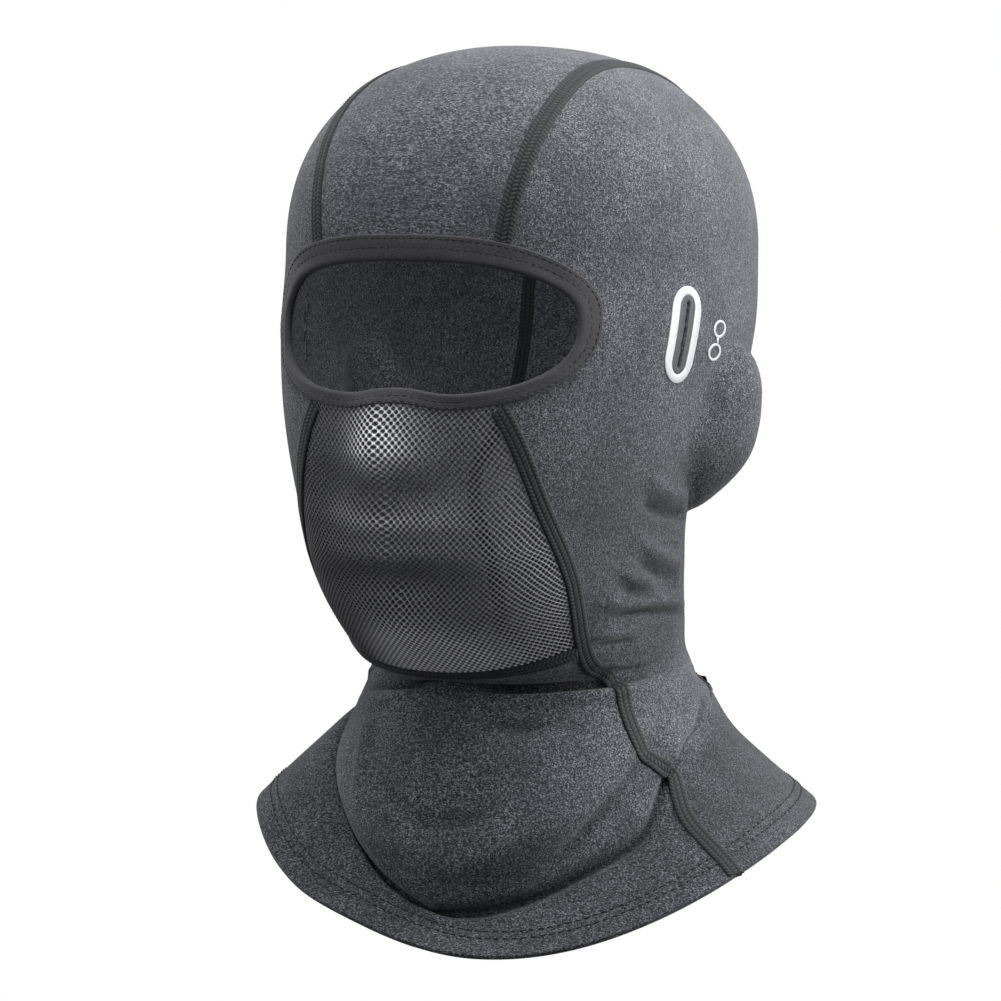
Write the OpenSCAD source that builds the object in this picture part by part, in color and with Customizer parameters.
// Balaclava (full face hood) with a mesh face panel, a cowl collar and slots for glasses.
// Millimetres. Z is up, the face looks toward -Y, the wearer's left is +X.
// The origin is the inside of the crown, where the top of the head touches the cloth.

/* [Head] */
// Width of the hood across the temples
head_width = 161; // [145:1:175]
// Depth of the hood from forehead to back of head
head_depth = 197; // [180:1:212]
// Height of the crown above the brow line
crown_height = 76.5; // [68:0.5:84]
// How far the cloth stands out over each ear
ear_height = 18; // [12:1:22]

/* [Collar] */
// Drop from the brow line to the lowest point of the hem
collar_drop = 252; // [235:1:270]
// Width across the hem
hem_width = 214; // [195:1:235]

/* [Eye opening] */
// Half angle of the opening about the middle of the head
eye_angle = 43.5; // [40:0.5:48]
// Height of the opening
eye_height = 48; // [38:1:54]
// Width of the binding above the eyes
binding_top = 9.3; // [7:0.1:11]
// Width of the binding below the eyes
binding_low = 5.3; // [4.5:0.1:8]

/* [Cloth and seams] */
// Thickness of the knit
cloth = 0.9; // [0.7:0.1:1.2]
// Thickness of the binding tape
tape = 0.8; // [0.5:0.1:1]
// Width of a flatlock seam
seam_width = 6; // [4:0.5:8]
// Height of a seam or a stitch row above the cloth
thread = 0.5; // [0.3:0.05:0.7]
// Depth of the hem that is folded inside
hem_depth = 14; // [10:1:16]

/* [Glasses slots] */
// Length of the cut for the temple arm
slit_length = 24; // [20:1:28]
// Width of the cut
slit_width = 1; // [0.6:0.1:1.6]
// Length of the reflective ring
ring_length = 35.5; // [33:0.5:40]
// Width of the reflective ring
ring_width = 18.4; // [15:0.1:20]
// Width of the ring's band along its sides
ring_band = 4.6; // [3:0.1:5]
// Width of the ring's band at its ends
ring_end = 3.2; // [2:0.1:4]

/* [Hidden] */

KNIT = "#56585e";
MESH = "#3f4146";
DARK = "#2c2d31";
TAPE = "#3b3a3f";
SILVER = "#b9bcc0";

// ---- Shape of the hood: level sections from the brow line to the hem ----
// Each row: height at the front, height at the back, reach to the front, to the side and to the back,
// squareness of the front half and of the back half, middle of the section along Y,
// angle that the low point of the row is turned by, how narrow that low point is to the wearer's
// left and to the right, and how far its middle hangs in a point.
// The first row only sets the direction in which the skin leaves the brow line.
SECTIONS = [
    [34, 34, 98, 81, 102, 2.3, 2.25, 0, 0, 3, 3, 0],        // guide
    [4, 4, 94.5, 81.2, 105, 2.25, 2.25, 0, 0, 3, 3, 0],     // 0 brow line
    [-26, -26, 99, 81, 102, 2.3, 2.25, 0, 0, 3, 3, 0],      // 1 eyes
    [-56, -56, 103, 76, 86, 2.4, 2.2, 0, 0, 3, 3, 0],       // 2 cheekbones
    [-90, -86, 102, 67, 46, 2.5, 2.05, 0, 0, 3, 3, 0],      // 3 mouth
    [-122, -112, 95, 62, 48, 2.5, 2, 4, 0, 3, 3, 0],        // 4 chin
    [-146, -132, 77, 59, 54, 2.2, 2, 8, 0, 3, 3, 0],        // 5 under the jaw
    [-155, -142, 58, 58.5, 58, 2, 2, 8, 0, 3, 3.2, 0],      // 6 tuck round the neck
    [-162, -148, 62, 60.5, 60, 2, 2, 8, 0, 3, 3.6, 0],      // 7 top of the cowl
    [-182, -154, 73, 64, 62, 2.05, 2, 8, 0, 3, 4.2, 0],     // 8 cowl
    [-212, -158, 81, 69, 66, 2.1, 2, 8, 0, 3.5, 4.8, 2],    // 9 belly of the cowl
    [-232, -159, 73, 69, 70, 2.1, 2, 8, 2, 4, 5.6, 6],      // 10 crease below the cowl
    [-238, -177, 76, 81, 79, 2.1, 2, 8, 9, 5, 9, 0],        // 11 flare
    [-248, -203, 90, 107, 107, 2.1, 2.1, 8, 12, 7, 12, 0]]; // 12 hem
LAST = len(SECTIONS) - 2;
BROW_ROW = SECTIONS[1];

// Sizes of the hood that the sections are written for
BROW = 4;
STEP = 30;
ROUND = 2.25;
SCALE_X = head_width / 161;
SCALE_Y = head_depth / 197;
SCALE_Z = collar_drop / 252;
SCALE_HEM = hem_width / head_width / (214 / 161);
LIFT = cloth - BROW * SCALE_Z - crown_height;

// Point of the cowl: angle and half width
POINT = [-2, 11];
// Where the hem hangs lower at the wearer's right: depth, angle, half width
DIP = [9, -36, 20];
// The cowl sits twisted on the neck: angle, first and last section of the turn
TWIST = [-11, 5.6, 8.6];
// The face opening sits slightly turned to the wearer's left
FACE_TURN = 3;

// Ear: middle, half length, half height of the upper and lower part, and how much fuller it is below
EAR = [20, -64, 22, 32, 28.5, 0.55];

// Eye opening: middle height, squareness, and how far the nose lifts its lower edge
EYE_MIDDLE = -22.3;
EYE_SQUARE = 2.35;
NOSE_LIFT = 2.5;
NOSE_ANGLE = 7;

// Where the front seam leaves the opening, and where it meets the seam under the chin
SEAM_TOP_ANGLE = 21;
CHIN_CORNER = [53, 4.85];
CHIN_MIDDLE = 5.27;

// Front seam below the opening, as [angle, section] stations
MESH_SEAM = [[10, 1.2], [SEAM_TOP_ANGLE, 1.78], [38.5, 2.75], [50.5, 3.55], [54.2, 4.1], CHIN_CORNER,
    [53.5, 5.6]];
BIB_SEAM = [[54, 4.1], CHIN_CORNER, [54, 5.6], [59.5, 6.3], [67, 7.1], [75.5, 8], [83.5, 9], [88.5, 10],
    [84, 11], [81, 12], [79, 13]];

// Half width of the centre panel down the back of the head, one value for each section
BACK_HALF = [41, 41.5, 41, 39.5, 37.5, 36.5, 36.5, 37, 37.5, 38, 38.5, 39.5, 43, 48];

// Mesh density
ROWS_DOME = 6;
ROWS_EYE = 14;
ROWS_MESH = 9;
ROWS_BIB = 21;
STRIP_CELLS = 8;
STRIP_ROWS = 22;

function mix(a, b, t) = a + (b - a) * t;
function power(value, exponent) = sign(value) * pow(abs(value), exponent);
function unit(v) = v / norm(v);
function half_of(x) = x < 0 ? -1 : 1;
function smooth(low, high, x) = let (t = max(0, min(1, (x - low) / (high - low)))) t * t * (3 - 2 * t);
function cubic(a, b, c, d, t) =
    0.5 * (2 * b + (c - a) * t + (2 * a - 5 * b + 4 * c - d) * t * t + (3 * b - 3 * c + d - a) * t * t * t);

// Smooth value from a table whose rows are one section apart, after one guide row
function along(table, v) =
    let (n = len(table) - 1, i = max(0, min(floor(v), n - 2)))
    cubic(table[i], table[i + 1], table[i + 2], table[min(i + 3, n)], v - i);

// Smooth path through stations, skipping the first and last, which only set the direction
function path(stations, steps) =
    [for (k = [0:steps])
        let (t = 1 + k / steps * (len(stations) - 3), i = min(floor(t), len(stations) - 3))
        cubic(stations[i - 1], stations[i], stations[i + 1], stations[i + 2], t - i)];

// Section number at a height near the eyes, and the height of a section there
function section_at(z) =
    z <= BROW ? (BROW - z) / STEP : -asin(pow((z - BROW) * SCALE_Z / crown_height, ROUND / 2)) / 90;
function height_at(v) = BROW - STEP * v;

// ---- The outer skin of the hood ----
// angle: 0 at the face, 90 at the wearer's left; v: -1 at the crown, 0 at the brow, LAST at the hem
function bulge(p) =
    let (across = (p[1] / SCALE_Y - EAR[0]) / EAR[2],
         rise = p[2] / SCALE_Z - EAR[1],
         up = rise / (rise > 0 ? EAR[3] : EAR[4]),
         far = across * across + up * up,
         lean = 0.62 + 0.38 * max(-1, min(1, across)),
         full = 1 + EAR[5] * smooth(-0.35, 0.75, -up),
         edge = mix(1, 0.6, smooth(-0.5, 0.3, -up)))
    (far >= 1 || abs(p[0]) < 40) ? p : p + [sign(p[0]) * ear_height * lean * full * pow(1 - far, edge), 0, 0];

function turned(v) =
    FACE_TURN * smooth(-0.1, 0.6, v) * (1 - smooth(2.6, 4.4, v)) + TWIST[0] * smooth(TWIST[1], TWIST[2], v);

function hood(spot_angle, v) =
    let (s = along(SECTIONS, max(v, 0)),
         angle = spot_angle + turned(v),
         front = cos(angle) >= 0,
         reach = (front ? s[2] : s[4]) * SCALE_Y,
         flare = mix(1, SCALE_HEM, max(0, v - LAST + 2) / 2),
         square = front ? s[5] : s[6],
         rise = min(1, max(0, -v)) * 90,
         shrink = v < 0 ? pow(cos(rise), 2 / ROUND) : 1,
         off = angle - s[8],
         low = pow(abs(cos(off / 2)), off > 0 ? s[9] : s[10]),
         point = s[11] * exp(-abs(angle - POINT[0]) / POINT[1]),
         dip = DIP[0] * smooth(LAST - 1.6, LAST, v) * exp(-pow((angle - DIP[1]) / DIP[2], 2)))
    bulge([
        s[3] * SCALE_X * flare * shrink * power(sin(angle), 2 / square),
        s[7] * SCALE_Y - reach * flare * shrink * power(cos(angle), 2 / square),
        v < 0 ? s[0] * SCALE_Z + crown_height * pow(sin(rise), 2 / ROUND)
              : (mix(s[1], s[0], low) - point - dip) * SCALE_Z]);

function dome_normal(p) =
    let (s = BROW_ROW, reach = (p[1] < 0 ? s[2] : s[4]) * SCALE_Y)
    unit([
        power(p[0] / (s[3] * SCALE_X), ROUND - 1) / (s[3] * SCALE_X),
        power(p[1] / reach, ROUND - 1) / reach,
        pow(max(0, p[2] - BROW * SCALE_Z) / crown_height, ROUND - 1) / crown_height]);

function normal(angle, v) =
    v < 0 ? dome_normal(hood(angle, v)) :
    unit(cross(hood(angle, min(v + 0.01, LAST)) - hood(angle, min(v + 0.01, LAST) - 0.02),
               hood(angle + 0.4, v) - hood(angle - 0.4, v)));

function place(spot, offset) = hood(spot[0], spot[1]) + [0, 0, LIFT] + normal(spot[0], spot[1]) * offset;

// ---- Lines on the skin ----
// Outline of the eye opening; grow is 0 at the inner edge of the binding and 1 at its outer edge
function eye_half(grow) = mix(eye_height / 2, (eye_height + binding_top + binding_low) / 2, grow);
function eye_mid(grow) = EYE_MIDDLE + grow * (binding_top - binding_low) / 2;
function eye_reach(grow) = eye_angle + 5.5 * grow;
function nose(angle) = NOSE_LIFT * exp(-pow(angle / NOSE_ANGLE, 2));
function eye_point(turn, grow) =
    let (angle = eye_reach(grow) * power(cos(turn), 2 / EYE_SQUARE),
         lift = sin(turn) < 0 ? nose(angle) : 0)
    [angle, section_at(eye_mid(grow) + eye_half(grow) * power(sin(turn), 2 / EYE_SQUARE) + lift)];
function eye_edge(angle, grow, up) =
    let (drop = pow(1 - pow(abs(angle) / eye_reach(grow), EYE_SQUARE), 1 / EYE_SQUARE))
    section_at(eye_mid(grow) + up * eye_half(grow) * drop + (up < 0 ? nose(angle) : 0));
function eye_turn(angle, grow) = acos(pow(angle / eye_reach(grow), EYE_SQUARE / 2));

// Cloth ends inside the fold of the binding
GROW = 0.14;

// Half width of the centre panel over the crown; tau is 0 at the brow and 180 at the back
function crown_half(tau) = 39.5 - 2 * cos(tau) + (tau < 90 ? 5 * sin(2 * tau) : 0);

// Spot on the dome that is x from the middle plane and tau round the arc
function dome_spot(x, tau) =
    let (s = BROW_ROW,
         ratio = pow(min(1, abs(x) / s[3]), ROUND),
         rise = asin(min(1, sqrt(1 - ratio) * sin(tau))),
         side = sqrt(ratio),
         ahead = sqrt(1 - ratio) * abs(cos(tau)),
         angle = atan2(side, ahead))
    [half_of(x) * (tau > 90 ? 180 - angle : angle), -rise / 90];
function back_spot(x, v) =
    let (s = along(SECTIONS, v))
    [half_of(x) * (180 - asin(pow(abs(x) / s[3], s[6] / 2))), v];
function back_half(v) = along(BACK_HALF, v);

BROW_ANGLE = dome_spot(crown_half(0), 0)[0];
EYE_START = eye_turn(BROW_ANGLE, GROW);
EYE_END = eye_turn(SEAM_TOP_ANGLE, GROW);

// Front edge of a side panel below the brow: crown seam, eye opening, mesh seam, bib seam
function pin(stations, first, spot) = [for (k = [0:len(stations) - 1]) k == first ? spot : stations[k]];
EYE_EDGE = [for (k = [0:ROWS_EYE]) eye_point(mix(EYE_START, -EYE_END, k / ROWS_EYE), GROW)];
MESH_EDGE = path(pin(MESH_SEAM, 1, EYE_EDGE[ROWS_EYE]), ROWS_MESH);
BIB_EDGE = path(BIB_SEAM, ROWS_BIB);
FRONT_EDGE = concat([[BROW_ANGLE, 0]], EYE_EDGE,
    [for (k = [1:ROWS_MESH]) MESH_EDGE[k]], [for (k = [1:ROWS_BIB]) BIB_EDGE[k]]);

function chin_line(angle) = mix(CHIN_MIDDLE, CHIN_CORNER[1], pow(angle / CHIN_CORNER[0], 2));

// ---- Grids of spots: rows run down the cloth, columns run round it ----
function tau_at(k) = 180 * k / STRIP_ROWS;

function side_grid(side) =
    let (seam = [for (k = [0:STRIP_ROWS]) dome_spot(crown_half(tau_at(k)), tau_at(k))],
         first = seam[0][0],
         last = seam[STRIP_ROWS][0])
    concat(
        [for (q = [ROWS_DOME:-1:1]) [for (spot = seam) [side * spot[0], spot[1] * q / ROWS_DOME]]],
        [for (edge = FRONT_EDGE)
            let (end = back_spot(back_half(edge[1]), edge[1])[0])
            [for (spot = seam) [side * mix(edge[0], end, (spot[0] - first) / (last - first)), edge[1]]]]);

function centre_grid() =
    let (cells = [for (j = [0:STRIP_CELLS]) 2 * j / STRIP_CELLS - 1])
    concat(
        [for (k = [2:-1:1])
            [for (u = cells)
                let (spot = dome_spot(u * crown_half(0), 0))
                [spot[0], mix(0, eye_edge(spot[0], GROW, 1), k / 2)]]],
        [for (k = [0:STRIP_ROWS]) [for (u = cells) dome_spot(u * crown_half(tau_at(k)), tau_at(k))]],
        [for (k = [1:len(FRONT_EDGE) - 1])
            let (v = FRONT_EDGE[k][1]) [for (u = cells) back_spot(u * back_half(v), v)]]);

function mesh_grid(cells) =
    [for (k = [0:ROWS_MESH])
        let (edge = MESH_EDGE[k], t = k / ROWS_MESH)
        [for (j = [0:cells])
            let (u = 2 * j / cells - 1,
                 top = eye_edge(u * SEAM_TOP_ANGLE, GROW, -1) - MESH_EDGE[0][1],
                 foot = chin_line(u * CHIN_CORNER[0]) - CHIN_CORNER[1])
            [u * edge[0], edge[1] + mix(top, foot, t)]]];

function bib_grid(cells) =
    [for (k = [0:ROWS_BIB])
        let (edge = BIB_EDGE[k], fade = pow(1 - k / ROWS_BIB, 3))
        [for (j = [0:cells])
            let (u = 2 * j / cells - 1)
            [u * edge[0], edge[1] + fade * (chin_line(u * CHIN_CORNER[0]) - CHIN_CORNER[1])]]];

// Thickness of the cloth: double where the hem is folded up inside
function depth_at(spot) =
    let (foot = hood(spot[0], LAST), above = norm(foot - hood(spot[0], spot[1])))
    spot[1] > LAST - 1 && above < hem_depth ? 2 * cloth : cloth;

// ---- Solids ----
function flip(faces) = [for (f = faces) [f[2], f[1], f[0]]];
function real(points, faces) =
    [for (f = faces)
        if (norm(points[f[0]] - points[f[1]]) > 1e-6 && norm(points[f[1]] - points[f[2]]) > 1e-6
            && norm(points[f[2]] - points[f[0]]) > 1e-6) f];

// A sheet of cloth between the skin and its own thickness, from a grid of spots.
// The rows above pinch share one spot at each end.
module sheet(grid, side = 1, pinch = 0) {
    rows = len(grid);
    cols = len(grid[0]);
    flat = [for (row = grid) each row];
    points = concat([for (s = flat) place(s, 0)], [for (s = flat) place(s, -depth_at(s))]);
    inner = rows * cols;
    function at(i, j) = (i < pinch && (j == 0 || j == cols - 1) ? pinch : i) * cols + j;
    function two(a, b, c, d) = [[a, b, c], [a, c, d]];
    faces = concat(
        [for (i = [0:rows - 2]) for (j = [0:cols - 2])
            each two(at(i, j), at(i, j + 1), at(i + 1, j + 1), at(i + 1, j))],
        [for (i = [0:rows - 2]) for (j = [0:cols - 2])
            each two(inner + at(i + 1, j), inner + at(i + 1, j + 1), inner + at(i, j + 1), inner + at(i, j))],
        [for (j = [0:cols - 2]) each two(at(0, j + 1), at(0, j), inner + at(0, j), inner + at(0, j + 1))],
        [for (j = [0:cols - 2])
            each two(at(rows - 1, j), at(rows - 1, j + 1),
                inner + at(rows - 1, j + 1), inner + at(rows - 1, j))],
        [for (i = [0:rows - 2]) each two(at(i, 0), at(i + 1, 0), inner + at(i + 1, 0), inner + at(i, 0))],
        [for (i = [0:rows - 2])
            each two(at(i + 1, cols - 1), at(i, cols - 1),
                inner + at(i, cols - 1), inner + at(i + 1, cols - 1))]);
    solid = real(points, faces);
    polyhedron(points, side > 0 ? solid : flip(solid), convexity = 10);
}

// Rings of points joined into a tube; a closed tube joins its last ring to its first
module tube(rings, closed = false) {
    n = len(rings[0]);
    count = len(rings);
    points = [for (ring = rings) each ring];
    walls = [for (i = [0:count - (closed ? 1 : 2)]) for (j = [0:n - 1])
        let (a = i * n + j, b = i * n + (j + 1) % n,
             c = ((i + 1) % count) * n + (j + 1) % n, d = ((i + 1) % count) * n + j)
        each [[a, b, c], [a, c, d]]];
    ends = closed ? [] : [
        for (j = [1:n - 2]) [0, j + 1, j],
        for (j = [1:n - 2]) let (e = (count - 1) * n) [e, e + j, e + j + 1]];
    polyhedron(points, concat(walls, ends), convexity = 10);
}

// A band that follows a line of spots; profile is a list of [across, above the skin]
module band(spots, profile, closed = false) {
    n = len(spots);
    middle = [for (s = spots) place(s, 0)];
    tube([for (i = [0:n - 1])
        let (before = closed ? (i + n - 1) % n : max(0, i - 1),
             after = closed ? (i + 1) % n : min(n - 1, i + 1),
             up = normal(spots[i][0], spots[i][1]),
             across = unit(cross(middle[after] - middle[before], up)))
        [for (p = profile) middle[i] + across * p[0] + up * p[1]]], closed);
}

// A flat ring between two loops of spots
module loop_plate(inside, outside, low, high) {
    tube([for (i = [0:len(inside) - 1])
        [place(inside[i], low), place(inside[i], high), place(outside[i], high), place(outside[i], low)]],
        closed = true);
}

GAP = 0.15;
W = seam_width / 2;
OUTSIDE = [[W, GAP], [W * 0.85, GAP + thread * 0.8], [0, GAP + thread],
    [-W * 0.85, GAP + thread * 0.8], [-W, GAP]];
function inside_of(width, layer) = [
    [width, -layer - GAP - thread * 0.7], [width, -layer - GAP], [-width, -layer - GAP],
    [-width, -layer - GAP - thread * 0.7]];
ROW = [[0.35, GAP], [0.35, GAP + thread * 0.6], [-0.35, GAP + thread * 0.6], [-0.35, GAP]];

// ---- Seam lines ----
// The crown seam starts at the rim of the binding and runs over the head to the back hem
CROWN_START = 2.5;
function crown_line(side) = concat(
    [for (tau = concat([CROWN_START], [for (k = [1:STRIP_ROWS]) tau_at(k)]))
        let (spot = dome_spot(crown_half(tau), tau)) [side * spot[0], spot[1]]],
    [for (k = [1:len(FRONT_EDGE) - 1])
        let (v = FRONT_EDGE[k][1], spot = back_spot(back_half(v), v)) [side * spot[0], v]]);
MESH_START = mix(MESH_EDGE[0], MESH_EDGE[1], 0.45);
function front_line(side) = concat(
    [[side * MESH_START[0], MESH_START[1]]],
    [for (k = [1:ROWS_MESH]) [side * MESH_EDGE[k][0], MESH_EDGE[k][1]]],
    [for (k = [1:ROWS_BIB]) [side * BIB_EDGE[k][0], BIB_EDGE[k][1]]]);
function chin_path(reach) = [for (k = [-8:8]) let (a = reach * k / 8) [a, chin_line(a)]];

module crown_seam(side) band(crown_line(side), OUTSIDE);
module crown_seam_inside(side) band(crown_line(side), inside_of(W * 0.8, cloth));
module front_seam(side) band(front_line(side), OUTSIDE);
module front_seam_inside(side) band(front_line(side), inside_of(W * 0.8, cloth));

// ---- Panels ----
module centre_panel() color(KNIT) sheet(centre_grid());
module side_panel(side) color(KNIT) difference() {
    sheet(side_grid(side), side, ROWS_DOME);
    slit(side);
}
module side_panel_left() side_panel(1);
module side_panel_right() side_panel(-1);
module face_mesh() color(MESH) sheet(mesh_grid(14));
module neck_bib() color(KNIT) sheet(bib_grid(14));

// ---- Binding round the eyes: tape folded over the cut edge, and its two rows of stitching ----
module eye_binding() color(TAPE) tube([for (k = [0:71])
    let (turn = -k * 5,
         edge = eye_point(turn, 0), fold = eye_point(turn, GROW * 0.7),
         middle = eye_point(turn, 0.5), rim = eye_point(turn, 1))
    [place(edge, -cloth - GAP), place(edge, GAP), place(fold, GAP + tape), place(middle, GAP + tape),
     place(rim, GAP + tape),
     place(rim, GAP), place(fold, GAP), place(fold, -cloth - GAP), place(rim, -cloth - GAP),
     place(rim, -cloth - GAP - tape), place(fold, -cloth - GAP - tape)]], closed = true);
function eye_loop(grow) = [for (k = [0:71]) eye_point(-k * 5, grow)];
function raised(profile, height) = [for (p = profile) [p[0], p[1] + height]];
module binding_stitch_outer() color(DARK) band(eye_loop(0.86), raised(ROW, GAP + tape), closed = true);
module binding_stitch_inner() color(DARK) band(eye_loop(0.5), raised(ROW, GAP + tape), closed = true);

// ---- Flatlock seams ----
module crown_seam_left() color(DARK) crown_seam(1);
module crown_seam_right() color(DARK) crown_seam(-1);
module crown_seam_inside_left() color(DARK) crown_seam_inside(1);
module crown_seam_inside_right() color(DARK) crown_seam_inside(-1);
module front_seam_left() color(DARK) front_seam(1);
module front_seam_right() color(DARK) front_seam(-1);
module front_seam_inside_left() color(DARK) front_seam_inside(1);
module front_seam_inside_right() color(DARK) front_seam_inside(-1);
module chin_seam() color(DARK) band(chin_path(49), OUTSIDE);
module chin_seam_inside() color(DARK) band(chin_path(49), inside_of(W * 0.8, cloth));

// ---- Hem stitching: two needle rows outside, one looper band inside ----
function hem_spot(angle, above) =
    let (span = norm(hood(angle, LAST) - hood(angle, LAST - 0.5)) * 2) [angle, LAST - above / span];
function hem_loop(above) = [for (k = [0:79]) hem_spot(k * 4.5 - 180, above)];
module hem_stitch_upper() color(DARK) band(hem_loop(hem_depth - 2), ROW, closed = true);
module hem_stitch_lower() color(DARK) band(hem_loop(hem_depth - 5), ROW, closed = true);
module hem_looper_thread() color(DARK)
    band(hem_loop(hem_depth - 3.5), inside_of(1.8, 2 * cloth), closed = true);

// ---- Glasses slots ----
SLOT = [-25, -25.4];
SLOT_LEAN = 11;
MARKS = [[1.2, -24], [-1.4, -32.4]];
MARK_SIZE = [4.4, 3.3];
MARK_BAND = [1.3, 1];

// Spot on a side panel from its place along Y and its height
function side_spot(side, y, z) =
    let (v = section_at(z), s = along(SECTIONS, v),
         angle = y < 0 ? acos(pow(-y / s[2], s[5] / 2)) : 180 - acos(pow(y / s[4], s[6] / 2)))
    [side * angle - turned(v), v];
function slot_spot(side, p) = side_spot(side,
    SLOT[0] + p[0] * cos(SLOT_LEAN) + p[1] * sin(SLOT_LEAN),
    SLOT[1] + p[1] * cos(SLOT_LEAN) - p[0] * sin(SLOT_LEAN));

// Points of a stadium, one loop of the given length and width
function stadium(length, width) =
    let (r = width / 2, half = length / 2 - r)
    concat(
        [for (k = [0:11]) let (a = k * 180 / 11) [r * cos(a), half + r * sin(a)]],
        [for (k = [1:7]) [-r, half * (1 - k / 4)]],
        [for (k = [0:11]) let (a = k * 180 / 11) [-r * cos(a), -half - r * sin(a)]],
        [for (k = [1:7]) [r, half * (k / 4 - 1)]]);
function slot_loop(side, length, width) =
    [for (p = stadium(length, width)) slot_spot(side, [side * p[0], p[1]])];
module slit(side) {
    middle = place(slot_spot(side, [0, 0]), 0);
    translate(middle) rotate([-SLOT_LEAN, 0, 0])
        cube([12, slit_width, slit_length], center = true);
}
INNER_LENGTH = ring_length - 2 * ring_end;
INNER_WIDTH = ring_width - 2 * ring_band;
module slot_ring(side) color(SILVER) loop_plate(
    slot_loop(side, INNER_LENGTH, INNER_WIDTH), slot_loop(side, ring_length, ring_width), GAP, GAP + 0.25);
module slot_patch(side) color(DARK) loop_plate(
    slot_loop(side, slit_length + 1, slit_width + 1.4),
    slot_loop(side, INNER_LENGTH - 0.3, INNER_WIDTH - 0.3), GAP, GAP + 0.2);
module slot_ring_left() slot_ring(1);
module slot_ring_right() slot_ring(-1);
module slot_patch_left() slot_patch(1);
module slot_patch_right() slot_patch(-1);

// ---- Printed mark: two lenses and the bridge between them ----
module lens(middle) translate(middle) difference() {
    scale([MARK_SIZE[0], MARK_SIZE[1]]) circle(1, $fn = 36);
    scale([MARK_SIZE[0] - MARK_BAND[0], MARK_SIZE[1] - MARK_BAND[1]]) circle(1, $fn = 36);
}
module spectacles_mark(side) color(SILVER) mirror([side > 0 ? 0 : 1, 0, 0]) {
    spot = side_spot(1, MARKS[1][0], (MARKS[0][1] + MARKS[1][1]) / 2);
    up = normal(spot[0], spot[1]);
    gap = MARKS[0] - MARKS[1];
    translate(place(spot, 5 * GAP)) rotate([0, -atan2(up[2], up[0]), 0]) rotate([90, 0, 90])
        linear_extrude(0.15) {
            lens([gap[0], gap[1] / 2]);
            lens([0, -gap[1] / 2]);
            translate([gap[0] / 2, 0]) rotate(-atan2(gap[0], gap[1]))
                square([1, norm(gap) - 2 * MARK_SIZE[1] + 0.6], center = true);
        }
}
module spectacles_mark_left() spectacles_mark(1);
module spectacles_mark_right() spectacles_mark(-1);

centre_panel();
side_panel_left();
side_panel_right();
face_mesh();
neck_bib();
eye_binding();
binding_stitch_outer();
binding_stitch_inner();
crown_seam_left();
crown_seam_right();
crown_seam_inside_left();
crown_seam_inside_right();
front_seam_left();
front_seam_right();
front_seam_inside_left();
front_seam_inside_right();
chin_seam();
chin_seam_inside();
hem_stitch_upper();
hem_stitch_lower();
hem_looper_thread();
slot_ring_left();
slot_ring_right();
slot_patch_left();
slot_patch_right();
spectacles_mark_left();
spectacles_mark_right();
